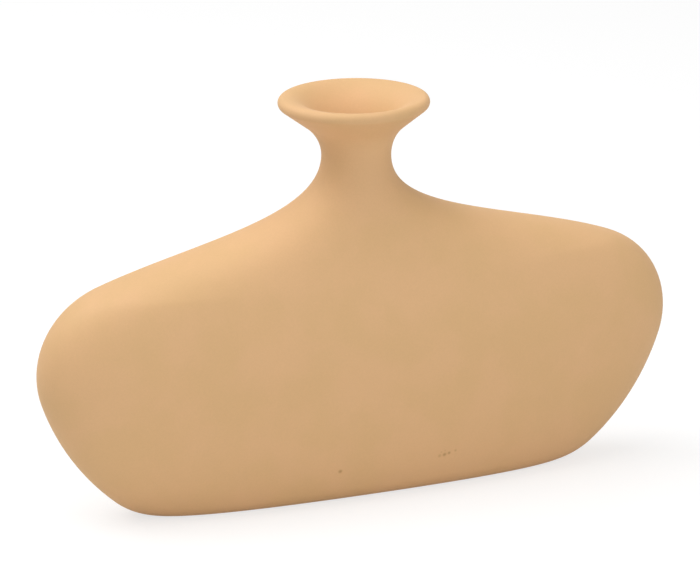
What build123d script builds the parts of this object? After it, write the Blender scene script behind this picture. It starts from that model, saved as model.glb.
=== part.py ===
"""Pillow vase: a flattened ceramic body on a long flat foot, with a round waisted neck and a flared lip.

The vase stands on its foot with its origin at the middle of the standing face, +X along its width,
+Y towards its back and +Z up. It is put together as such a vase is before it is fired: two half
shells that meet on the plane Y = 0, a foot slab under them and a neck collar on top of them.
"""
import os
from math import atan2, cos, degrees, hypot, radians, sin, sqrt

from build123d import *

# Body, in millimetres
body_width = 330.0
body_depth = 76.0
wall = 5.0

# Front outline, from the foot up to the waist of the neck
foot_flat_length = 206.5
foot_end_radius = 37.0
side_radius = 118.6
widest_height = 74.3
shoulder_end_radius = 41.65
shoulder_slope = 21.3
shoulder_reach = 48.0
neck_reach = 33.2
waist_rise = 54.9

# Side outline: the faces are deepest at the belly and draw in towards the foot and the neck
foot_flat_depth = 28.0
belly_height = 68.0
foot_turn_power = 2.4

# Horizontal sections: how far each quarter keeps to the face and to the end before it turns
face_fullness = 0.78
end_fullness = 0.58
fullness_fade = 3.4

# Neck and mouth: the flare spreads to an oval lip, whose top rolls over into the throat
neck_diameter = 33.8
flare_radius = 19.3
flare_angle = 52.5
mouth_width = 74.0
mouth_depth = 70.0
lip_radius = 3.0
lip_land = 0.5
side_dome_reach = 11.0
face_dome_reach = 4.5
throat_reach = 14.0
throat_depth = 28.0

# Joints between the pieces, with a layer of slip between faces that fit
slip_gap = 0.3
foot_thickness = 8.0
foot_land_height = 3.0
spigot_length = 6.0

# Sections along each stretch of the front outline and of the collar
foot_sections = 6
side_sections = 5
end_sections = 7
shoulder_sections = 13
flare_sections = 6
lip_sections = 9
throat_sections = 9

# Share of a half axis at which a cubic quarter is round
round_fullness = 4 / 3 * (sqrt(2) - 1)

neck_radius = neck_diameter / 2
throat_radius = neck_radius - wall

# The wall at the waist is shared by the collar's spigot and the seat around it
spigot_radius = throat_radius + (wall - slip_gap) / 2


def side_arc_centre(foot, end):
    """Centre of the side arc, which touches the foot turn and the shoulder end from outside."""
    to_foot = side_radius - foot_end_radius
    to_end = side_radius - shoulder_end_radius
    span_x = end[0] - foot[0]
    span_z = end[1] - foot[1]
    span = hypot(span_x, span_z)
    along = (to_foot**2 - to_end**2 + span**2) / (2 * span)
    across = sqrt(to_foot**2 - along**2)
    return (
        foot[0] + (along * span_x - across * span_z) / span,
        foot[1] + (along * span_z + across * span_x) / span,
    )


def bearing(centre, target):
    """Direction from one point to another, in degrees."""
    return degrees(atan2(target[1] - centre[1], target[0] - centre[0]))


foot_centre = (foot_flat_length / 2, foot_end_radius)
end_centre = (body_width / 2 - shoulder_end_radius, widest_height)
side_centre = side_arc_centre(foot_centre, end_centre)
foot_bearing = bearing(side_centre, foot_centre)
end_bearing = bearing(side_centre, end_centre)
slope = radians(shoulder_slope)
shoulder_height = widest_height + shoulder_end_radius * cos(slope)
waist_height = shoulder_height + waist_rise

# Right half of the front outline, climbing from the foot to the waist of the neck
with BuildLine(Plane.XZ):
    foot_turn = CenterArc(foot_centre, foot_end_radius, -90, foot_bearing + 90)
    side = CenterArc(side_centre, side_radius, foot_bearing, end_bearing - foot_bearing)
    shoulder_end = CenterArc(
        end_centre, shoulder_end_radius, end_bearing, 90 - shoulder_slope - end_bearing
    )
    shoulder_start = (end_centre[0] + shoulder_end_radius * sin(slope), shoulder_height)
    shoulder = Bezier(
        shoulder_start,
        (shoulder_start[0] - shoulder_reach * cos(slope), shoulder_height + shoulder_reach * sin(slope)),
        (neck_radius, waist_height - neck_reach),
        (neck_radius, waist_height),
    )


def half_depth(height):
    """Half of the body's depth at a height, and how fast it grows with the height."""
    if height < belly_height:
        foot_half = foot_flat_depth / 2
        swell = body_depth / 2 - foot_half
        fall = 1 - height / belly_height
        rise = 1 - fall**2
        if rise == 0:
            return foot_half, 0.0
        growth = 2 * fall / (foot_turn_power * belly_height) * rise ** (1 / foot_turn_power - 1)
        return foot_half + swell * rise ** (1 / foot_turn_power), swell * growth
    swell = body_depth / 2 - neck_radius
    climb = (height - belly_height) / (waist_height - belly_height)
    growth = -4 * climb * (1 - climb**2) / (waist_height - belly_height)
    return neck_radius + swell * (1 - climb**2) ** 2, swell * growth


def section_at(height, half_width, depth):
    """Horizontal section: full faces and round ends on the body, fading to a circle at the neck."""
    faded = max(0.0, (height - shoulder_height) / waist_rise)
    fullness = max(0.0, 1 - faded) ** fullness_fade
    along_face = half_width * (round_fullness + (face_fullness - round_fullness) * fullness)
    along_end = depth * (round_fullness + (end_fullness - round_fullness) * fullness)
    with BuildSketch(Plane.XY.offset(height)) as outline:
        with BuildLine():
            Bezier((half_width, 0), (half_width, along_end), (along_face, depth), (0, depth))
            mirror(about=Plane.YZ)
            mirror(about=Plane.XZ)
        make_face()
    return outline.sketch


def station(stretch, share, inset):
    """Section through one point of the front outline, moved in by the inset."""
    point = stretch @ share
    along = stretch % share
    height = point.Z + inset * along.X
    depth, growth = half_depth(height)
    return section_at(height, point.X - inset * along.Z, depth - inset * hypot(1, growth))


def body_sections(inset):
    """Sections of the body's form from the foot to the waist, set in from its outside by the inset."""
    stretches = (
        (foot_turn, foot_sections),
        (side, side_sections),
        (shoulder_end, end_sections),
        (shoulder, shoulder_sections),
    )
    sections = [station(foot_turn, 0, inset)]
    for stretch, count in stretches:
        sections += [station(stretch, (number + 1) / count, inset) for number in range(count)]
    return sections


# Outside of the body, solid from the foot to the waist
with BuildPart() as body_form:
    loft(body_sections(0), clean=False)

# Space inside the body, which runs straight down from its lowest section
with BuildPart() as cavity_form:
    loft(body_sections(wall), clean=False)
    extrude(cavity_form.faces().sort_by(Axis.Z)[0], amount=wall)

# Both shells before they are parted, with the seat for the neck collar
with BuildPart() as shell_blank:
    add(body_form.part)
    add(cavity_form.part, mode=Mode.SUBTRACT)
    split(bisect_by=Plane.XY.offset(foot_thickness), keep=Keep.TOP)
    with BuildSketch(Plane.XY.offset(waist_height)):
        Circle(spigot_radius + slip_gap)
    extrude(amount=-(spigot_length + slip_gap), mode=Mode.SUBTRACT)

with BuildPart() as front_shell:
    add(shell_blank.part)
    split(bisect_by=Plane.XZ, keep=Keep.TOP)

with BuildPart() as rear_shell:
    mirror(front_shell.part, about=Plane.XZ)

# Reach of the cavity on the joint plane, which the foot's land fits inside
floor_reach = section(cavity_form.part, section_by=Plane.XY.offset(foot_thickness)).bounding_box().max
land = section_at(foot_thickness, floor_reach.X - slip_gap, floor_reach.Y - slip_gap)

# Foot slab, with a land on top that the shells fit around
with BuildPart() as foot_slab:
    add(body_form.part)
    split(bisect_by=Plane.XY.offset(foot_thickness), keep=Keep.BOTTOM)
    extrude(land, amount=foot_land_height)

# Outline of the collar: the flare and the roll of the lip
flare_centre = (neck_radius + flare_radius, waist_height)
flare = radians(flare_angle)
lip_x = mouth_width / 2 - lip_radius
flare_end_x = flare_centre[0] - flare_radius * cos(flare)
flare_run = (lip_x + lip_radius * cos(flare) - flare_end_x) / sin(flare)
lip_rise = flare_radius * sin(flare) + flare_run * cos(flare) + lip_radius * sin(flare)
lip_centre = (lip_x, waist_height + lip_rise)
lip_top = lip_centre[1] + lip_radius

with BuildLine(Plane.XZ):
    outer_flare = CenterArc(flare_centre, flare_radius, 180, -flare_angle)
    lip = CenterArc(lip_centre, lip_radius, -flare_angle, 90 + flare_angle)
    flare_side = Line(outer_flare @ 1, lip @ 0)

# Share of the spread along X that the mouth has along Y
spread = (mouth_depth / 2 - neck_radius) / (mouth_width / 2 - neck_radius)

# Dome on top of the lip, which turns down into the throat: end points and pulls of its two outlines
side_dome = (lip_x - lip_land, lip_x - lip_land - side_dome_reach, throat_radius, throat_radius)
dome_half_depth = neck_radius + (lip_x - neck_radius) * spread - lip_land
face_dome = (dome_half_depth, dome_half_depth - face_dome_reach, throat_radius, throat_radius)
throat_top = lip_top - throat_depth
dome_heights = (lip_top, lip_top, throat_top + throat_reach, throat_top)


def oval_at(height, half_width, half_depth):
    """Horizontal section of the collar."""
    with BuildSketch(Plane.XY.offset(height)) as outline:
        Ellipse(half_width, half_depth)
    return outline.sketch


def outer_oval(point):
    """Section of the collar's outside, which is round at the waist and spreads to an oval."""
    return oval_at(point.Z, point.X, neck_radius + (point.X - neck_radius) * spread)


def dome_oval(share):
    """Section of the dome, at a share of its way from the throat up to the lip."""
    weights = (share**3, 3 * share**2 * (1 - share), 3 * share * (1 - share) ** 2, (1 - share) ** 3)
    half_width, half_depth, height = (
        sum(weight * value for weight, value in zip(weights, values))
        for values in (side_dome, face_dome, dome_heights)
    )
    return oval_at(height, half_width, half_depth)


outer_places = [outer_flare @ (number / flare_sections) for number in range(flare_sections + 1)]
outer_places += [flare_side @ 0.35, flare_side @ 0.7]
outer_places += [lip @ (number / lip_sections) for number in range(lip_sections + 1)]

# Neck collar: the flare and the lip, with the throat through it and a spigot in the shells
with BuildPart() as neck_collar:
    loft([outer_oval(place) for place in outer_places], clean=False)
    loft(
        [dome_oval(number / throat_sections) for number in range(throat_sections + 1)],
        clean=False,
        mode=Mode.SUBTRACT,
    )
    with BuildSketch(Plane.XY.offset(waist_height)):
        Circle(spigot_radius)
    extrude(amount=-spigot_length)
    with BuildSketch(Plane.XY.offset(throat_top)):
        Circle(throat_radius)
    extrude(amount=waist_height - spigot_length - throat_top, mode=Mode.SUBTRACT)

front_shell.part.label = "front_shell"
rear_shell.part.label = "rear_shell"
foot_slab.part.label = "foot_slab"
neck_collar.part.label = "neck_collar"

os.makedirs("parts", exist_ok=True)
for piece in (front_shell, rear_shell, foot_slab, neck_collar):
    export_step(piece.part, f"parts/{piece.part.label}.step")
    size = piece.part.bounding_box().size
    print(f"{piece.part.label}: {size.X:.2f} x {size.Y:.2f} x {size.Z:.2f} mm")
print(f"overall height {lip_top:.2f} mm, waist at {waist_height:.2f} mm")
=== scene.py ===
"""Dresses the pillow vase: matte tan slip over its four clay pieces, on a pale floor in soft studio light.

The clay form is drawn once, as a stack of rounded sections, and is then parted into the pieces that the
vase is joined from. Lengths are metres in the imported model's frame, with the front towards -Y.
"""

import logging
import math
from contextlib import contextmanager
from dataclasses import dataclass, replace
from enum import Enum
from typing import Iterator

import bmesh
import bpy
import numpy as np
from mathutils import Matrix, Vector


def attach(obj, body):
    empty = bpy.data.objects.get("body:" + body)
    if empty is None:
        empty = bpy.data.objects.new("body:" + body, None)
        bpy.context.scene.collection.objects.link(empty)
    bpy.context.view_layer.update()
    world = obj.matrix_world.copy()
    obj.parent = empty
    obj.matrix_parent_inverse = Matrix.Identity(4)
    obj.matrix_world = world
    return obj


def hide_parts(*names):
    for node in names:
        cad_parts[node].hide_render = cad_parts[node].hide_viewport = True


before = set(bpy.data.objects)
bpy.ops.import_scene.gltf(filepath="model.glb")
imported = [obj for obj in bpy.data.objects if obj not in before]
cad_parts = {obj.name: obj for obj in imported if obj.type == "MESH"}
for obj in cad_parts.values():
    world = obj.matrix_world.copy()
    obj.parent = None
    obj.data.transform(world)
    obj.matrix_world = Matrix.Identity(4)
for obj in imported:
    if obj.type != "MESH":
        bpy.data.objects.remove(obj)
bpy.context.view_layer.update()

log = logging.getLogger("pillow_vase")

MM = 0.001

# Points nearer than this are one point, and faces farther off the whole form's skin belong to a joint
TOUCH = 1e-6
SKIN_DEPTH = 0.02 * MM

# Share of a half axis at which a cubic quarter is round
ROUND_PULL = 4 / 3 * (math.sqrt(2) - 1)

# What a node's input takes: a link from another node, a number or a colour
InputValue = bpy.types.NodeSocket | float | tuple[float, ...]


class Side(Enum):
    """Which side of a cutting plane is kept, as the sign of the plane's normal."""

    BELOW = -1
    ABOVE = 1


def linear(hex_colour: str) -> tuple[float, float, float, float]:
    """Turns an sRGB hex colour into linear red, green, blue and alpha.

    Args:
        hex_colour: six hex digits after a hash sign.

    Returns:
        The colour as Blender's sockets take it.
    """
    shares = [int(hex_colour[place : place + 2], 16) / 255 for place in (1, 3, 5)]
    red, green, blue = (
        share / 12.92 if share <= 0.04045 else ((share + 0.055) / 1.055) ** 2.4 for share in shares
    )
    return red, green, blue, 1.0


def add_node(tree: bpy.types.NodeTree, kind: str, inputs: dict | None = None, **settings) -> bpy.types.Node:
    """Adds a node with its settings, and sets or links its inputs.

    Args:
        tree: the node tree.
        kind: the node's type name.
        inputs: values, or sockets to link, by the input's name or number.
        settings: the node's own properties.

    Returns:
        The new node.
    """
    node = tree.nodes.new(kind)
    for name, value in settings.items():
        setattr(node, name, value)
    for name, value in (inputs or {}).items():
        if isinstance(value, bpy.types.NodeSocket):
            tree.links.new(value, node.inputs[name])
        else:
            node.inputs[name].default_value = value
    return node


def combine(
    tree: bpy.types.NodeTree, operation: str, first: InputValue, second: InputValue
) -> bpy.types.NodeSocket:
    """Puts two values together by a math operation, and gives the result."""
    return add_node(tree, "ShaderNodeMath", {0: first, 1: second}, operation=operation).outputs["Value"]


def background_rays(tree: bpy.types.NodeTree) -> bpy.types.NodeSocket:
    """Finds the rays that see the background: straight, mirrored or through glass.

    Args:
        tree: the node tree of the floor or of the world.

    Returns:
        A share that is 1 for those rays and 0 for the rays that only carry light.
    """
    path = add_node(tree, "ShaderNodeLightPath").outputs
    mirrored = combine(tree, "MAXIMUM", path["Is Glossy Ray"], path["Is Transmission Ray"])
    return combine(tree, "MAXIMUM", path["Is Camera Ray"], mirrored)


def activate(*pieces: bpy.types.Object) -> None:
    """Selects these objects and nothing else.

    Args:
        pieces: the objects, with the one to make active first.
    """
    bpy.ops.object.select_all(action="DESELECT")
    for piece in pieces:
        piece.select_set(True)
    bpy.context.view_layer.objects.active = pieces[0]


@contextmanager
def editing(piece: bpy.types.Object) -> Iterator[bmesh.types.BMesh]:
    """Opens a piece in edit mode with nothing selected, and closes it again.

    Args:
        piece: a mesh object.

    Yields:
        The mesh as it is edited.
    """
    activate(piece)
    bpy.ops.object.mode_set(mode="EDIT")
    bpy.ops.mesh.select_mode(type="VERT")
    bpy.ops.mesh.select_all(action="DESELECT")
    yield bmesh.from_edit_mesh(piece.data)
    bpy.ops.object.mode_set(mode="OBJECT")


def copy_of(piece: bpy.types.Object, name: str) -> bpy.types.Object:
    """Copies a piece with a mesh of its own.

    Args:
        piece: the object to copy.
        name: the copy's name.

    Returns:
        The copy.
    """
    activate(piece)
    bpy.ops.object.duplicate()
    twin = bpy.context.object
    twin.name = name
    twin.data.name = name
    return twin


def cut(piece: bpy.types.Object, place: Vector, normal: Vector, keep: Side, fill: bool = False) -> None:
    """Cuts a piece along a plane and drops one side.

    Args:
        piece: the mesh object.
        place: a point of the plane.
        normal: the plane's normal.
        keep: the side that stays.
        fill: whether the cut is closed with flat faces.
    """
    with editing(piece):
        bpy.ops.mesh.select_all(action="SELECT")
        bpy.ops.mesh.bisect(
            plane_co=place,
            plane_no=normal,
            use_fill=fill,
            clear_inner=keep is Side.ABOVE,
            clear_outer=keep is Side.BELOW,
            threshold=TOUCH,
        )


def select_rims(piece: bpy.types.Object, height: float) -> None:
    """Selects the open rims of a piece that lie at a height, and nothing else.

    Args:
        piece: the mesh object, in edit mode.
        height: the rims' height.
    """
    bpy.ops.mesh.select_all(action="DESELECT")
    bpy.ops.mesh.select_mode(type="EDGE")
    for edge in bmesh.from_edit_mesh(piece.data).edges:
        level = all(abs(vertex.co.z - height) < TOUCH for vertex in edge.verts)
        edge.select_set(level and (edge.is_boundary or edge.is_wire))


def extrude_rim(shift: Vector, radius_change: float = 1.0) -> None:
    """Draws the selected rim out into a new band of faces.

    Args:
        shift: how far the new rim moves.
        radius_change: by how much the new rim's radius about the Z axis is multiplied.
    """
    bpy.ops.mesh.extrude_edges_move(TRANSFORM_OT_translate={"value": shift})
    bpy.ops.transform.resize(value=(radius_change, radius_change, 1), center_override=(0, 0, 0))


@dataclass(frozen=True)
class Arc:
    """Stretch of a profile along a circle, in the plane of X and Z.

    Attributes:
        centre: the circle's centre.
        radius: the circle's radius.
        start: where the stretch starts, in degrees from +X towards +Z.
        turn: how far it turns, in degrees.
        steps: sections along it.
    """

    centre: Vector
    radius: float
    start: float
    turn: float
    steps: int

    def at(self, share: float) -> tuple[Vector, Vector]:
        """Finds a point of the stretch.

        Args:
            share: the share of the stretch that lies before the point.

        Returns:
            The point, and the stretch's direction there.
        """
        angle = math.radians(self.start + self.turn * share)
        out = Vector((math.cos(angle), math.sin(angle)))
        along = Vector((-out.y, out.x)) * math.copysign(1, self.turn)
        return self.centre + out * self.radius, along


@dataclass(frozen=True)
class Sweep:
    """Stretch of a profile along a cubic curve, in the plane of X and Z.

    Attributes:
        points: the curve's two ends, with their pulls between them.
        steps: sections along it.
    """

    points: tuple[Vector, Vector, Vector, Vector]
    steps: int

    def at(self, share: float) -> tuple[Vector, Vector]:
        """Finds a point of the stretch.

        Args:
            share: the share of the stretch that lies before the point.

        Returns:
            The point, and the stretch's direction there.
        """
        level = list(self.points)
        while len(level) > 2:
            level = [first.lerp(second, share) for first, second in zip(level, level[1:])]
        return level[0].lerp(level[1], share), (level[1] - level[0]).normalized()


def bearing(centre: Vector, target: Vector) -> float:
    """Gives the direction from one point to another, in degrees."""
    return math.degrees(math.atan2(target.y - centre.y, target.x - centre.x))


def straight(start: Vector, end: Vector, steps: int) -> Sweep:
    """Makes a straight stretch of a profile between two points."""
    return Sweep((start, start.lerp(end, 1 / 3), start.lerp(end, 2 / 3), end), steps)


def places(stretches: list[Arc | Sweep]) -> list[tuple[Vector, Vector]]:
    """Lists the places and directions along a profile, with each joint of two stretches once."""
    first = [stretches[0].at(0)]
    return first + [part.at((step + 1) / part.steps) for part in stretches for step in range(part.steps)]


@dataclass(frozen=True)
class Section:
    """Horizontal section of the vase, closed by four cubic quarters.

    Attributes:
        height: height above the floor.
        half_width: reach along X.
        half_depth: reach along Y.
        pull_face: share of the half width along which a quarter keeps to the face.
        pull_end: share of the half depth along which a quarter keeps to the end.
        lean: how far its middle stands off the vase's axis, along X.
    """

    height: float
    half_width: float
    half_depth: float
    pull_face: float = ROUND_PULL
    pull_end: float = ROUND_PULL
    lean: float = 0.0


@dataclass(frozen=True)
class VaseSizes:
    """Sizes of the vase, as its clay pieces were drawn."""

    body_width: float = 330 * MM
    body_depth: float = 76 * MM
    wall: float = 5 * MM
    foot_flat_length: float = 206.5 * MM
    foot_end_radius: float = 37 * MM
    side_radius: float = 118.6 * MM
    widest_height: float = 74.3 * MM
    shoulder_end_radius: float = 41.65 * MM
    shoulder_slope: float = 21.3
    shoulder_reach: float = 48 * MM
    neck_reach: float = 33.2 * MM
    waist_rise: float = 54.9 * MM
    foot_flat_depth: float = 28 * MM
    belly_height: float = 68 * MM
    foot_turn_power: float = 2.4
    face_fullness: float = 0.78
    end_fullness: float = 0.58
    fullness_fade: float = 3.4
    neck_radius: float = 16.9 * MM
    flare_radius: float = 19.3 * MM
    flare_angle: float = 52.5
    mouth_half_width: float = 37 * MM
    mouth_half_depth: float = 35 * MM
    mouth_lean: float = -1.3 * MM
    lip_radius: float = 3 * MM
    side_dome_reach: float = 11.5 * MM
    face_dome_reach: float = 5 * MM
    throat_reach: float = 14 * MM
    throat_depth: float = 28 * MM
    slip_gap: float = 0.3 * MM
    foot_thickness: float = 8 * MM
    foot_land_height: float = 3 * MM
    spigot_length: float = 6 * MM

    @property
    def shoulder_height(self) -> float:
        """Height at which the shoulder leaves the rounded end."""
        return self.widest_height + self.shoulder_end_radius * math.cos(math.radians(self.shoulder_slope))

    @property
    def waist_height(self) -> float:
        """Height of the neck's waist."""
        return self.shoulder_height + self.waist_rise

    @property
    def collar_height(self) -> float:
        """Works out how high the collar stands.

        Returns:
            Height of the top of the lip over the waist.
        """
        flare = math.radians(self.flare_angle)
        flare_end = self.neck_radius + self.flare_radius * (1 - math.cos(flare))
        run = (self.lip_reach + self.lip_radius * math.cos(flare) - flare_end) / math.sin(flare)
        rise = (self.flare_radius + self.lip_radius) * math.sin(flare) + run * math.cos(flare)
        return rise + self.lip_radius

    @property
    def throat_radius(self) -> float:
        """Radius of the hole through the neck."""
        return self.neck_radius - self.wall

    @property
    def lip_reach(self) -> float:
        """Half width of the mouth at the top of the lip."""
        return self.mouth_half_width - self.lip_radius

    @property
    def lip_depth(self) -> float:
        """Half depth of the mouth at the top of the lip."""
        spread = (self.mouth_half_depth - self.neck_radius) / (self.mouth_half_width - self.neck_radius)
        return self.neck_radius + (self.lip_reach - self.neck_radius) * spread

    @property
    def spigot_radius(self) -> float:
        """Outer radius of the collar's spigot, which shares the wall with its seat."""
        return self.throat_radius + (self.wall - self.slip_gap) / 2


@dataclass
class ClayForm:
    """The whole vase as one hollow form of clay, before it is parted into its pieces.

    Attributes:
        sizes: the vase's sizes.
        quarter_points: points along each quarter of a section.
        foot_steps: sections along the turn of the foot.
        side_steps: sections along the side.
        end_steps: sections along the rounded end.
        shoulder_steps: sections along the shoulder, up to the waist of the neck.
        flare_steps: sections along the round of the flare.
        brim_steps: sections along the straight of the flare.
        lip_steps: sections along the roll of the lip.
        dome_steps: sections along the dome that turns down into the throat.
        throat_steps: sections along the straight of the throat.
    """

    sizes: VaseSizes
    quarter_points: int = 48
    foot_steps: int = 18
    side_steps: int = 14
    end_steps: int = 20
    shoulder_steps: int = 48
    flare_steps: int = 18
    brim_steps: int = 8
    lip_steps: int = 16
    dome_steps: int = 36
    throat_steps: int = 4

    def body_profile(self) -> list[Arc | Sweep]:
        """Draws the right half of the front outline.

        Returns:
            The stretches from the foot up to the waist of the neck.
        """
        s = self.sizes
        foot = Vector((s.foot_flat_length / 2, s.foot_end_radius))
        end = Vector((s.body_width / 2 - s.shoulder_end_radius, s.widest_height))
        to_foot = s.side_radius - s.foot_end_radius
        to_end = s.side_radius - s.shoulder_end_radius
        span = end - foot
        along = (to_foot**2 - to_end**2 + span.length_squared) / (2 * span.length)
        across = math.sqrt(to_foot**2 - along**2)
        step = span.normalized()
        centre = foot + step * along + Vector((-step.y, step.x)) * across
        foot_bearing = bearing(centre, foot)
        end_bearing = bearing(centre, end)
        slope = math.radians(s.shoulder_slope)
        start = end + Vector((math.sin(slope), math.cos(slope))) * s.shoulder_end_radius
        shoulder = (
            start,
            start + Vector((-math.cos(slope), math.sin(slope))) * s.shoulder_reach,
            Vector((s.neck_radius, s.waist_height - s.neck_reach)),
            Vector((s.neck_radius, s.waist_height)),
        )
        end_turn = 90 - s.shoulder_slope - end_bearing
        return [
            Arc(foot, s.foot_end_radius, -90, foot_bearing + 90, self.foot_steps),
            Arc(centre, s.side_radius, foot_bearing, end_bearing - foot_bearing, self.side_steps),
            Arc(end, s.shoulder_end_radius, end_bearing, end_turn, self.end_steps),
            Sweep(shoulder, self.shoulder_steps),
        ]

    def collar_profile(self) -> list[Arc | Sweep]:
        """Draws the right half of the collar's outline.

        Returns:
            The stretches outside, from the waist of the neck up to the top of the lip.
        """
        s = self.sizes
        flare = math.radians(s.flare_angle)
        centre = Vector((s.neck_radius + s.flare_radius, s.waist_height))
        flare_end = centre + Vector((-math.cos(flare), math.sin(flare))) * s.flare_radius
        lip = Vector((s.lip_reach, s.waist_height + s.collar_height - s.lip_radius))
        line_end = lip + Vector((math.cos(flare), -math.sin(flare))) * s.lip_radius
        return [
            Arc(centre, s.flare_radius, 180, -s.flare_angle, self.flare_steps),
            straight(flare_end, line_end, self.brim_steps),
            Arc(lip, s.lip_radius, -s.flare_angle, s.flare_angle + 90, self.lip_steps),
        ]

    def throat_profile(self, reach: float, dome_reach: float) -> list[Sweep]:
        """Draws one outline of the dome on top of the lip, which turns down into the throat.

        Args:
            reach: how far the top of the lip stands from the axis.
            dome_reach: how far the dome keeps level before it turns down.

        Returns:
            The stretches from the top of the lip down to the waist of the neck.
        """
        s = self.sizes
        top = Vector((reach, s.waist_height + s.collar_height))
        throat = Vector((s.throat_radius, top.y - s.throat_depth))
        waist = Vector((s.throat_radius, s.waist_height))
        dome = (top, top - Vector((dome_reach, 0)), throat + Vector((0, s.throat_reach)), throat)
        return [Sweep(dome, self.dome_steps), straight(throat, waist, self.throat_steps)]

    def half_depth(self, height: float) -> tuple[float, float]:
        """Gives half of the body's depth at a height.

        Args:
            height: height above the floor.

        Returns:
            The half depth, and how fast it grows with the height.
        """
        s = self.sizes
        if height < s.belly_height:
            foot_half = s.foot_flat_depth / 2
            swell = s.body_depth / 2 - foot_half
            fall = 1 - height / s.belly_height
            rise = 1 - fall**2
            if rise == 0:
                return foot_half, 0.0
            power = 1 / s.foot_turn_power
            growth = 2 * fall * power / s.belly_height * rise ** (power - 1)
            return foot_half + swell * rise**power, swell * growth
        swell = s.body_depth / 2 - s.neck_radius
        rise = s.waist_height - s.belly_height
        climb = (height - s.belly_height) / rise
        return s.neck_radius + swell * (1 - climb**2) ** 2, -4 * swell * climb * (1 - climb**2) / rise

    def body_section(self, point: Vector, along: Vector, inset: float) -> Section:
        """Makes the body's section through a point of its front outline.

        Args:
            point: the point of the outline.
            along: the outline's direction there.
            inset: how far the section is set in from the outside.

        Returns:
            The section, with full faces on the body that fade to a circle at the neck.
        """
        s = self.sizes
        height = point.y + inset * along.x
        depth, growth = self.half_depth(height)
        faded = max(0.0, (height - s.shoulder_height) / s.waist_rise)
        fullness = max(0.0, 1 - faded) ** s.fullness_fade
        return Section(
            height,
            point.x - inset * along.y,
            depth - inset * math.hypot(1, growth),
            ROUND_PULL + (s.face_fullness - ROUND_PULL) * fullness,
            ROUND_PULL + (s.end_fullness - ROUND_PULL) * fullness,
        )

    def body_sections(self, inset: float) -> list[Section]:
        """Makes the body's sections from the foot to the waist, set in by the inset."""
        return [self.body_section(*place, inset) for place in places(self.body_profile())]

    def collar_section(self, height: float, half_width: float, half_depth: float) -> Section:
        """Makes a section of the collar, off the axis by its share of the mouth's lean.

        Args:
            height: height above the floor.
            half_width: reach along X.
            half_depth: reach along Y.

        Returns:
            The section, a circle at the waist and an oval at the lip.
        """
        s = self.sizes
        climb = (height - s.waist_height) / s.collar_height
        return Section(height, half_width, half_depth, lean=s.mouth_lean * climb**2 * (3 - 2 * climb))

    def outside_sections(self) -> list[Section]:
        """Makes the sections of the outside.

        Returns:
            The sections from the foot to the top of the lip.
        """
        s = self.sizes
        spread = (s.lip_depth - s.neck_radius) / (s.lip_reach - s.neck_radius)
        collar = [
            self.collar_section(point.y, point.x, s.neck_radius + (point.x - s.neck_radius) * spread)
            for point, _ in places(self.collar_profile())
        ]
        return self.body_sections(0) + collar[1:]

    def inside_sections(self) -> list[Section]:
        """Makes the sections of the inside.

        Returns:
            The sections from the top of the lip down to the floor of the cavity.
        """
        s = self.sizes
        sides = places(self.throat_profile(s.lip_reach, s.side_dome_reach))
        faces = places(self.throat_profile(s.lip_depth, s.face_dome_reach))
        collar = [
            self.collar_section(side.y, side.x, face.x) for (side, _), (face, _) in zip(sides, faces)
        ]
        return collar + self.body_sections(s.wall)[-2::-1]

    def section_at(self, height: float, inset: float) -> Section:
        """Finds the body's section at a height.

        Args:
            height: height above the floor.
            inset: how far the section is set in from the outside.

        Returns:
            The section, between its two neighbours.
        """
        sections = self.body_sections(inset)
        for lower, upper in zip(sections, sections[1:]):
            if lower.height <= height < upper.height:
                share = (height - lower.height) / (upper.height - lower.height)
                width = lower.half_width + (upper.half_width - lower.half_width) * share
                depth = lower.half_depth + (upper.half_depth - lower.half_depth) * share
                return Section(height, width, depth, lower.pull_face, lower.pull_end)
        raise ValueError(f"the body has no section at {height}")

    def ring(self, section: Section) -> bpy.types.Object:
        """Draws one section as a closed curve.

        Args:
            section: the section.

        Returns:
            The curve, with four points whose handles set how full the section is.
        """
        bpy.ops.curve.primitive_bezier_circle_add(radius=1, location=(section.lean, 0, section.height))
        curve = bpy.context.object
        curve.data.resolution_u = self.quarter_points
        for point in curve.data.splines[0].bezier_points:
            handles = [point.handle_left.copy(), point.handle_right.copy()]
            at_end = abs(point.co.x) > abs(point.co.y)
            pull = Vector((1, section.pull_end)) if at_end else Vector((section.pull_face, 1))
            point.handle_left_type = point.handle_right_type = "FREE"
            point.co = (point.co.x * section.half_width, point.co.y * section.half_depth, 0)
            for name, handle in zip(("handle_left", "handle_right"), handles):
                x = math.copysign(section.half_width, handle.x) * pull.x
                y = math.copysign(section.half_depth, handle.y) * pull.y
                setattr(point, name, (x, y, 0))
        return curve

    def skin(self, sections: list[Section], name: str) -> bpy.types.Object:
        """Stretches a skin over a stack of sections.

        Args:
            sections: the sections, in order of height.
            name: the object's name.

        Returns:
            The open skin, with its two end rings unfilled.
        """
        rings = [self.ring(section) for section in sections]
        activate(*rings)
        bpy.ops.object.convert(target="MESH")
        bpy.ops.object.join()
        skin = bpy.context.object
        skin.name = name
        bpy.ops.object.transform_apply(location=True, rotation=True, scale=True)
        with editing(skin):
            bpy.ops.mesh.select_all(action="SELECT")
            bpy.ops.mesh.bridge_edge_loops(type="SINGLE")
        return skin

    def close(self, piece: bpy.types.Object, height: float) -> None:
        """Fills the ring of a piece that lies at a height.

        Args:
            piece: the mesh object.
            height: the open ring's height.
        """
        with editing(piece):
            select_rims(piece, height)
            bpy.ops.mesh.edge_face_add()

    def outside(self) -> bpy.types.Object:
        """Builds the outside up to the top of the lip.

        Returns:
            The outer skin, closed under the foot.
        """
        sections = self.outside_sections()
        skin = self.skin(sections, "outside")
        self.close(skin, sections[0].height)
        return skin

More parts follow.
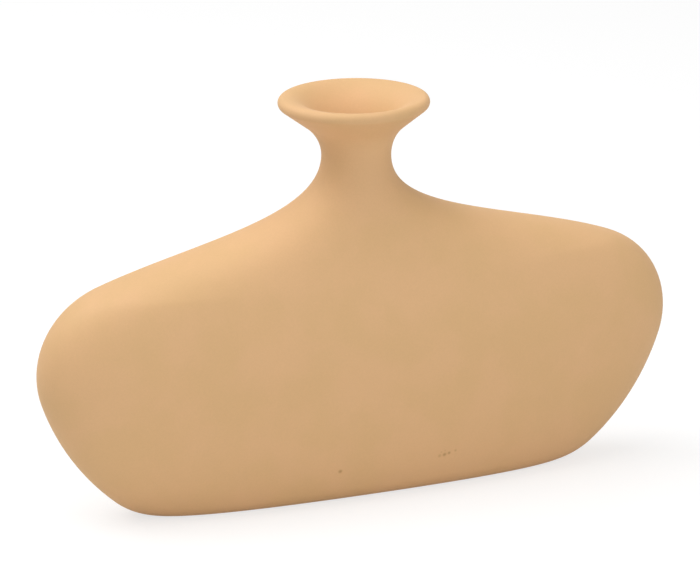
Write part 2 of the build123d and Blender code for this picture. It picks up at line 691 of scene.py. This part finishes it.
    def inside(self) -> bpy.types.Object:
        """Builds the inside down from the top of the lip.

        Returns:
            The inner skin, closed at the floor of the cavity.
        """
        sections = self.inside_sections()
        skin = self.skin(sections, "inside")
        self.close(skin, sections[-1].height)
        return skin

    def whole(self, outside: bpy.types.Object, inside: bpy.types.Object) -> bpy.types.Object:
        """Joins copies of the outside and the inside at the top of the lip.

        Args:
            outside: the outer skin.
            inside: the inner skin.

        Returns:
            The hollow vase as one smooth closed surface.
        """
        outer = copy_of(outside, "whole_form")
        inner = copy_of(inside, "whole_form_inside")
        activate(outer, inner)
        bpy.ops.object.join()
        with editing(outer):
            bpy.ops.mesh.select_all(action="SELECT")
            bpy.ops.mesh.remove_doubles(threshold=TOUCH)
            bpy.ops.mesh.normals_make_consistent(inside=False)
        bpy.ops.object.shade_smooth()
        return outer


@dataclass
class ClayPiece:
    """A clay piece of the vase, cut from the whole form so that no joint shows on its skin.

    Attributes:
        form: the whole vase's form.
        whole: the whole form as a mesh, which lends the piece its shading.
        coat: the material that the piece is coated with.
    """

    form: ClayForm
    whole: bpy.types.Object
    coat: bpy.types.Material

    def band(
        self, skin: bpy.types.Object, name: str, above: float | None, below: float | None
    ) -> bpy.types.Object:
        """Copies the band of a skin that lies between two heights.

        Args:
            skin: the outer or inner skin.
            name: the copy's name.
            above: the height that the band starts at, or None for all of the skin's foot.
            below: the height that the band ends at, or None for all of the skin's top.

        Returns:
            The open band.
        """
        band = copy_of(skin, name)
        if above is not None:
            cut(band, Vector((0, 0, above)), Vector((0, 0, 1)), Side.ABOVE)
        if below is not None:
            cut(band, Vector((0, 0, below)), Vector((0, 0, 1)), Side.BELOW)
        return band

    def settle(self, piece: bpy.types.Object, node: str) -> None:
        """Shades and coats a finished piece, and sets it in the place of its node.

        Args:
            piece: the piece, closed.
            node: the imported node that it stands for.
        """
        with editing(piece):
            bpy.ops.mesh.select_all(action="SELECT")
            bpy.ops.mesh.normals_make_consistent(inside=False)
        bpy.ops.object.shade_smooth()
        joints = self.joint_corners(piece)
        bpy.ops.object.modifier_add(type="DATA_TRANSFER")
        shading = piece.modifiers[-1]
        shading.object = self.whole
        shading.use_loop_data = True
        shading.data_types_loops = {"CUSTOM_NORMAL"}
        shading.loop_mapping = "POLYINTERP_NEAREST"
        bpy.ops.object.modifier_apply(modifier=shading.name)
        self.flatten(piece, joints)
        piece.data.materials.clear()
        piece.data.materials.append(self.coat)
        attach(piece, "root")
        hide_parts(node)
        log.info("%s: %d faces, in place of %s", piece.name, len(piece.data.polygons), node)

    def joint_corners(self, piece: bpy.types.Object) -> np.ndarray:
        """Finds the corners of the faces that lie on none of the form's skin.

        Args:
            piece: the piece.

        Returns:
            The faces' own normals at those corners, and zero at the others.
        """
        flats = np.zeros((len(piece.data.loops), 3))
        for polygon in piece.data.polygons:
            _, place, _, _ = self.whole.closest_point_on_mesh(polygon.center)
            if (place - polygon.center).length > SKIN_DEPTH:
                flats[polygon.loop_start : polygon.loop_start + polygon.loop_total] = polygon.normal
        return flats

    def flatten(self, piece: bpy.types.Object, flats: np.ndarray) -> None:
        """Gives the faces of the joints their own flat shading.

        Args:
            piece: the piece.
            flats: normals by corner, zero where the skin's shading stays.
        """
        normals = np.zeros(flats.size)
        piece.data.corner_normals.foreach_get("vector", normals)
        normals = normals.reshape(flats.shape)
        joint = np.any(flats != 0, axis=1)
        normals[joint] = flats[joint]
        piece.data.normals_split_custom_set(normals)


@dataclass
class BodyShells(ClayPiece):
    """The front and the rear half of the body, from the foot slab to the waist of the neck."""

    def build(self, outside: bpy.types.Object, inside: bpy.types.Object) -> None:
        """Builds both shells.

        Args:
            outside: the outer skin.
            inside: the inner skin.
        """
        s = self.form.sizes
        ledge = s.waist_height - s.spigot_length - s.slip_gap
        body = self.band(outside, "body_wall", s.foot_thickness, s.waist_height)
        lining = self.band(inside, "body_lining", s.foot_thickness, ledge)
        activate(body, lining)
        bpy.ops.object.join()
        with editing(body) as mesh:
            select_rims(body, s.foot_thickness)
            bpy.ops.mesh.fill()
            select_rims(body, ledge)
            throat = max(vertex.co.x for vertex in mesh.verts if vertex.select)
            extrude_rim(Vector((0, 0, 0)), (s.spigot_radius + s.slip_gap) / throat)
            extrude_rim(Vector((0, 0, s.waist_height - ledge)))
            select_rims(body, s.waist_height)
            bpy.ops.mesh.fill()
        front = copy_of(body, "front_shell_clay")
        cut(front, Vector((0, 0, 0)), Vector((0, 1, 0)), Side.BELOW, fill=True)
        cut(body, Vector((0, 0, 0)), Vector((0, 1, 0)), Side.ABOVE, fill=True)
        body.name = body.data.name = "rear_shell_clay"
        self.settle(front, "front_shell")
        self.settle(body, "rear_shell")


@dataclass
class FootSlab(ClayPiece):
    """The slab that the vase stands on, with the land that the shells fit around."""

    def build(self, outside: bpy.types.Object) -> None:
        """Builds the slab from the foot of the outer skin.

        Args:
            outside: the outer skin.
        """
        s = self.form.sizes
        slab = self.band(outside, "foot_slab_clay", None, s.foot_thickness)
        floor = self.form.section_at(s.foot_thickness, s.wall)
        land = self.form.ring(
            replace(
                floor,
                half_width=floor.half_width - s.slip_gap,
                half_depth=floor.half_depth - s.slip_gap,
            )
        )
        activate(land)
        bpy.ops.object.convert(target="MESH")
        bpy.ops.object.transform_apply(location=True, rotation=True, scale=True)
        activate(slab, land)
        bpy.ops.object.join()
        with editing(slab):
            select_rims(slab, s.foot_thickness)
            bpy.ops.mesh.fill()
            select_rims(slab, s.foot_thickness)
            extrude_rim(Vector((0, 0, s.foot_land_height)))
            bpy.ops.mesh.edge_face_add()
        self.settle(slab, "foot_slab")


@dataclass
class NeckCollar(ClayPiece):
    """The upper neck with the flared mouth and the lip, and the spigot under its waist."""

    def build(self, outside: bpy.types.Object, inside: bpy.types.Object) -> None:
        """Builds the collar from the tops of both skins.

        Args:
            outside: the outer skin.
            inside: the inner skin.
        """
        s = self.form.sizes
        collar = self.band(outside, "neck_collar_clay", s.waist_height, None)
        throat = self.band(inside, "throat", s.waist_height, None)
        with editing(throat):
            select_rims(throat, s.waist_height)
            extrude_rim(Vector((0, 0, -s.spigot_length)))
            extrude_rim(Vector((0, 0, 0)), s.spigot_radius / s.throat_radius)
            extrude_rim(Vector((0, 0, s.spigot_length)))
        activate(collar, throat)
        bpy.ops.object.join()
        with editing(collar):
            select_rims(collar, s.waist_height)
            bpy.ops.mesh.fill()
            bpy.ops.mesh.select_all(action="SELECT")
            bpy.ops.mesh.remove_doubles(threshold=TOUCH)
        self.settle(collar, "neck_collar")


@dataclass(frozen=True)
class Scuff:
    """A small rubbed mark in the slip.

    Attributes:
        place: its middle on the skin.
        radius: how far it reaches.
        strength: share of the mark's colour at its middle.
    """

    place: tuple[float, float, float]
    radius: float
    strength: float


@dataclass(frozen=True)
class TanSlip:
    """Matte tan slip, sprayed over fired clay and left unglazed.

    Attributes:
        name: the material's name.
        slip: the slip's colour.
        pale: its colour where it lies thin.
        bare_clay_and_throat_shade: the pinkish bare clay under the foot, where the slip is wiped off, also
            used as the painted warm shade deep in the throat.
        rubbed: the colour of a scuff.
        cloud_size: size of the clouds where the slip lies thin or thick.
        grain_size: size of the clay's grains. Real ones are about 0.3 mm, which is finer than a pixel.
        grain_depth: depth of the grain.
        speckle: how far a grain's colour strays from the slip's.
        roughness: how dull the slip is.
        throat_shade_share: how much of the painted warm shade is laid deep in the throat.
        throat_shade_radii: distances from the axis between which it starts there.
        throat_shade_heights: heights between which it starts, so that the cavity below keeps the slip's
            colour.
        standing_heights: heights between which the slip ends above the standing face.
        scuffs: the marks on the front face.
    """

    name: str = "matte_tan_slip_on_fired_clay"
    slip: str = "#dab07d"
    pale: str = "#deb281"
    # Pinkish bare clay under the foot, also used as painted warm shade deep in the throat
    bare_clay_and_throat_shade: str = "#dca37c"
    rubbed: str = "#b0854f"
    cloud_size: float = 32 * MM
    grain_size: float = 0.9 * MM
    grain_depth: float = 0.03 * MM
    speckle: float = 0.015
    roughness: float = 0.68
    throat_shade_share: float = 0.4
    throat_shade_radii: tuple[float, float] = (16.8 * MM, 11 * MM)
    throat_shade_heights: tuple[float, float] = (150 * MM, 165 * MM)
    standing_heights: tuple[float, float] = (0.35 * MM, 0.15 * MM)
    scuffs: tuple[Scuff, ...] = (
        Scuff((33.1 * MM, -31.7 * MM, 20.5 * MM), 1.6 * MM, 0.85),
        Scuff((35.5 * MM, -31.8 * MM, 21.0 * MM), 1.3 * MM, 0.8),
        Scuff((38.9 * MM, -31.9 * MM, 21.9 * MM), 1.1 * MM, 0.5),
        Scuff((30.5 * MM, -31.7 * MM, 20.2 * MM), 1.5 * MM, 0.45),
        Scuff((31.2 * MM, -32.0 * MM, 22.2 * MM), 0.9 * MM, 0.3),
        Scuff((33.1 * MM, -32.2 * MM, 22.8 * MM), 1.0 * MM, 0.25),
        Scuff((-22.3 * MM, -31.7 * MM, 19.5 * MM), 1.6 * MM, 0.85),
    )

    def material(self) -> bpy.types.Material:
        """Makes the material.

        Returns:
            The material, for all the clay pieces.
        """
        coat = bpy.data.materials.new(self.name)
        coat.use_nodes = True
        tree = coat.node_tree
        tree.nodes.clear()
        place = add_node(tree, "ShaderNodeTexCoord").outputs["Object"]
        # Sprayed slip dries in soft clouds, so the eye sees one tan with hardly any pattern
        clouds = add_node(
            tree, "ShaderNodeTexNoise", {"Vector": place, "Scale": 1 / self.cloud_size, "Detail": 3.0}
        )
        grain = add_node(
            tree, "ShaderNodeTexNoise", {"Vector": place, "Scale": 1 / self.grain_size, "Detail": 2.0}
        )
        thin = self.fade(tree, clouds.outputs["Fac"], 0.35, 0.65)
        colour = self.mix(tree, thin, linear(self.slip), linear(self.pale))
        speck = add_node(
            tree,
            "ShaderNodeMapRange",
            {
                "Value": grain.outputs["Fac"],
                "From Min": 0.3,
                "From Max": 0.7,
                "To Min": 1 - self.speckle,
                "To Max": 1 + self.speckle,
            },
        )
        colour = self.tint(tree, colour, speck.outputs["Result"])
        # Pinkish bare clay on the standing face, and painted warm shade deep in the throat
        colour = self.mix(tree, self.bare_foot_and_throat_shade(tree, place), colour, linear(self.bare_clay_and_throat_shade))
        for scuff in self.scuffs:
            colour = self.mix(tree, self.rub(tree, place, scuff), colour, linear(self.rubbed))
        bump = add_node(
            tree,
            "ShaderNodeBump",
            {"Height": grain.outputs["Fac"], "Strength": 1.0, "Distance": self.grain_depth},
        )
        # Fired slip is dull, with a broad faint sheen towards the light
        surface = add_node(
            tree,
            "ShaderNodeBsdfPrincipled",
            {
                "Base Color": colour,
                "Roughness": self.roughness,
                "IOR": 1.5,
                "Normal": bump.outputs["Normal"],
            },
        )
        add_node(tree, "ShaderNodeOutputMaterial", {"Surface": surface.outputs["BSDF"]})
        return coat

    def mix(
        self, tree: bpy.types.NodeTree, share: InputValue, first: InputValue, second: InputValue
    ) -> bpy.types.NodeSocket:
        """Mixes two colours by a share."""
        node = add_node(tree, "ShaderNodeMix", {0: share, 6: first, 7: second}, data_type="RGBA")
        return node.outputs[2]

    def tint(self, tree: bpy.types.NodeTree, colour: InputValue, level: InputValue) -> bpy.types.NodeSocket:
        """Multiplies a colour by a level.

        Args:
            tree: the material's node tree.
            colour: the colour.
            level: the level.

        Returns:
            The darker or lighter colour.
        """
        inputs = {0: 1.0, 6: colour, 7: level}
        node = add_node(tree, "ShaderNodeMix", inputs, data_type="RGBA", blend_type="MULTIPLY")
        return node.outputs[2]

    def fade(
        self, tree: bpy.types.NodeTree, value: InputValue, start: float, end: float, full: float = 1.0
    ) -> bpy.types.NodeSocket:
        """Makes a share that grows smoothly while a value goes from a start to an end.

        Args:
            tree: the material's node tree.
            value: the value.
            start: where the share starts, at nothing.
            end: where it is full.
            full: the full share.

        Returns:
            The share.
        """
        ramp = add_node(
            tree,
            "ShaderNodeMapRange",
            {"Value": value, "From Min": start, "From Max": end, "To Max": full},
            interpolation_type="SMOOTHSTEP",
        )
        return ramp.outputs["Result"]

    def bare_foot_and_throat_shade(self, tree: bpy.types.NodeTree, place: bpy.types.NodeSocket) -> bpy.types.NodeSocket:
        """Finds where the clay is bare on the standing face, and where painted warm shade lies deep in the
        throat.

        Args:
            tree: the material's node tree.
            place: the place on the vase.

        Returns:
            The share of the pinkish colour. It is 1 on the standing face, where the clay is bare, and rises
            to the throat shade share deep in the throat, where it is painted shade.
        """
        axes = add_node(tree, "ShaderNodeSeparateXYZ", {"Vector": place}).outputs
        flat = add_node(tree, "ShaderNodeCombineXYZ", {"X": axes["X"], "Y": axes["Y"]})
        radius = add_node(tree, "ShaderNodeVectorMath", {0: flat.outputs["Vector"]}, operation="LENGTH")
        # Painted warm shade: a pinker tint laid deep in the throat's hollow
        throat = self.fade(tree, radius.outputs["Value"], *self.throat_shade_radii, self.throat_shade_share)
        neck = self.fade(tree, axes["Z"], *self.throat_shade_heights)
        under = self.fade(tree, axes["Z"], *self.standing_heights)
        return combine(tree, "MAXIMUM", combine(tree, "MULTIPLY", throat, neck), under)

    def rub(
        self, tree: bpy.types.NodeTree, place: bpy.types.NodeSocket, scuff: Scuff
    ) -> bpy.types.NodeSocket:
        """Finds where a scuff lies.

        Args:
            tree: the material's node tree.
            place: the place on the vase.
            scuff: the mark.

        Returns:
            A share that falls from the mark's strength at its middle to nothing at its edge.
        """
        away = add_node(tree, "ShaderNodeVectorMath", {0: place, 1: scuff.place}, operation="DISTANCE")
        return self.fade(tree, away.outputs["Value"], scuff.radius, 0.0, scuff.strength)


@dataclass(frozen=True)
class PaperSweep:
    """White paper under the vase, which looks blank but for a faint shadow.

    Attributes:
        name: the material's name.
        sheet: the grey that the camera sees the shadow on.
        glow: light added to it for the camera, so that it is white where no shadow falls.
        plain: the paper's own colour, which throws light back on the vase.
    """

    name: str = "white_paper_sweep"
    sheet: str = "#a0a0a0"
    glow: float = 0.7
    plain: str = "#ececec"

    def material(self) -> bpy.types.Material:
        """Makes the material.

        Returns:
            The material, for the floor.
        """
        paper = bpy.data.materials.new(self.name)
        paper.use_nodes = True
        tree = paper.node_tree
        tree.nodes.clear()
        # Lit paper looks white and flat, so the eye sees only the vase and its shadow
        sheet = add_node(tree, "ShaderNodeBsdfDiffuse", {"Color": linear(self.sheet)})
        glow = add_node(tree, "ShaderNodeEmission", {"Color": linear("#ffffff"), "Strength": self.glow})
        white = add_node(
            tree, "ShaderNodeAddShader", {0: sheet.outputs["BSDF"], 1: glow.outputs["Emission"]}
        )
        plain = add_node(tree, "ShaderNodeBsdfDiffuse", {"Color": linear(self.plain)})
        surface = add_node(
            tree,
            "ShaderNodeMixShader",
            {0: background_rays(tree), 1: plain.outputs["BSDF"], 2: white.outputs["Shader"]},
        )
        add_node(tree, "ShaderNodeOutputMaterial", {"Surface": surface.outputs["Shader"]})
        return paper


@dataclass(frozen=True)
class Softbox:
    """A soft lamp that faces the vase.

    Attributes:
        name: the lamp's name.
        around: bearing from the front, in degrees towards +X.
        above: height over the floor, in degrees.
        distance: distance from the vase.
        size: the lamp's width and height.
        power: the lamp's power in watts.
    """

    name: str
    around: float
    above: float
    distance: float
    size: tuple[float, float]
    power: float


@dataclass
class Studio:
    """The pale floor, the soft light and the camera.

    Attributes:
        floor_size: the floor's side, wide enough for views from every side.
        floor_drop: how far it lies under the standing face, so that the two faces never share a place.
        ambient: strength of the light from all around.
        softboxes: the lamps.
        middle: the point that the lamps face, and that bearings are taken from.
        camera_around: the camera's bearing from the front, in degrees towards +X.
        camera_above: its height, in degrees.
        camera_distance: its distance from the vase.
        camera_target: the point that it faces.
        camera_sight: how far it sees.
        lens: its focal length in millimetres.
    """

    floor_size: float = 24.0
    floor_drop: float = 0.1 * MM
    ambient: float = 0.31
    softboxes: tuple[Softbox, ...] = (
        Softbox("softbox_overhead", 0, 88, 1.6, (1.4, 1.4), 9.1),
        Softbox("softbox_top_left", -80, 62, 1.7, (1.2, 1.2), 6.0),
        Softbox("softbox_back_left", -130, 50, 1.9, (1.2, 1.2), 13.8),
        Softbox("softbox_front", -15, 20, 2.4, (1.2, 1.2), 5.7),
        Softbox("softbox_front_right", 25, 25, 2.2, (1.2, 1.2), 8.8),
    )
    middle: Vector = Vector((0, 0, 100 * MM))
    camera_around: float = -23.82
    camera_above: float = 17.3
    camera_distance: float = 2.7234
    camera_target: Vector = Vector((-2.73 * MM, 1.23 * MM, 99.82 * MM))
    camera_sight: float = 50.0
    lens: float = 288.4

    def direction(self, around: float, above: float) -> Vector:
        """Turns a bearing and a height into a direction from the vase.

        Args:
            around: the bearing from the front, in degrees towards +X.
            above: the height, in degrees.

        Returns:
            The direction, one metre long.
        """
        level = math.cos(math.radians(above))
        side = math.radians(around)
        return Vector((math.sin(side) * level, -math.cos(side) * level, math.sin(math.radians(above))))

    def floor(self) -> None:
        """Lays the floor, which is white to the camera and keeps the vase's shadow."""
        bpy.ops.object.select_all(action="DESELECT")
        bpy.ops.mesh.primitive_plane_add(size=self.floor_size, location=(0, 0, 0))
        floor = bpy.context.object
        floor.name = "floor"
        with editing(floor):
            bpy.ops.mesh.select_all(action="SELECT")
            bpy.ops.transform.translate(value=(0, 0, -self.floor_drop))
        floor.data.materials.append(PaperSweep().material())

    def surroundings(self) -> None:
        """Sets the world: white to the camera, and an even light from all around."""
        world = bpy.data.worlds.new("studio")
        bpy.context.scene.world = world
        world.use_nodes = True
        tree = world.node_tree
        tree.nodes.clear()
        light = add_node(
            tree, "ShaderNodeBackground", {"Color": linear("#ffffff"), "Strength": self.ambient}
        )
        white = add_node(tree, "ShaderNodeBackground", {"Color": linear("#ffffff"), "Strength": 1.0})
        surface = add_node(
            tree,
            "ShaderNodeMixShader",
            {0: background_rays(tree), 1: light.outputs["Background"], 2: white.outputs["Background"]},
        )
        add_node(tree, "ShaderNodeOutputWorld", {"Surface": surface.outputs["Shader"]})

    def lamps(self) -> None:
        """Hangs the soft lamps around the vase."""
        for box in self.softboxes:
            towards = self.direction(box.around, box.above)
            bpy.ops.object.light_add(type="AREA", location=self.middle + towards * box.distance)
            lamp = bpy.context.object
            lamp.name = box.name
            lamp.rotation_euler = towards.to_track_quat("Z", "Y").to_euler()
            lamp.data.shape = "RECTANGLE"
            lamp.data.size, lamp.data.size_y = box.size
            lamp.data.energy = box.power
            log.info("%s: %.0f W", box.name, box.power)

    def camera(self) -> None:
        """Sets up the camera where the photograph was taken from."""
        back = self.direction(self.camera_around, self.camera_above)
        place = self.middle + back * self.camera_distance
        bpy.ops.object.camera_add(location=place)
        camera = bpy.context.object
        camera.name = "photo_camera"
        camera.rotation_euler = (place - self.camera_target).to_track_quat("Z", "Y").to_euler()
        camera.data.lens = self.lens
        camera.data.clip_end = self.camera_sight
        bpy.context.scene.camera = camera

    def build(self) -> None:
        """Sets up the floor, the world, the lamps and the camera."""
        self.floor()
        self.surroundings()
        self.lamps()
        self.camera()
        bpy.context.scene.view_settings.view_transform = "Standard"


def main() -> None:
    """Builds the vase's pieces in order and reports each one."""
    logging.basicConfig(level=logging.INFO, format="%(name)s: %(message)s")
    form = ClayForm(VaseSizes())
    outside = form.outside()
    inside = form.inside()
    whole = form.whole(outside, inside)
    coat = TanSlip().material()
    BodyShells(form, whole, coat).build(outside, inside)
    FootSlab(form, whole, coat).build(outside)
    NeckCollar(form, whole, coat).build(outside, inside)
    activate(outside, inside, whole)
    bpy.ops.object.delete()
    Studio().build()


if __name__ == "__main__":
    main()
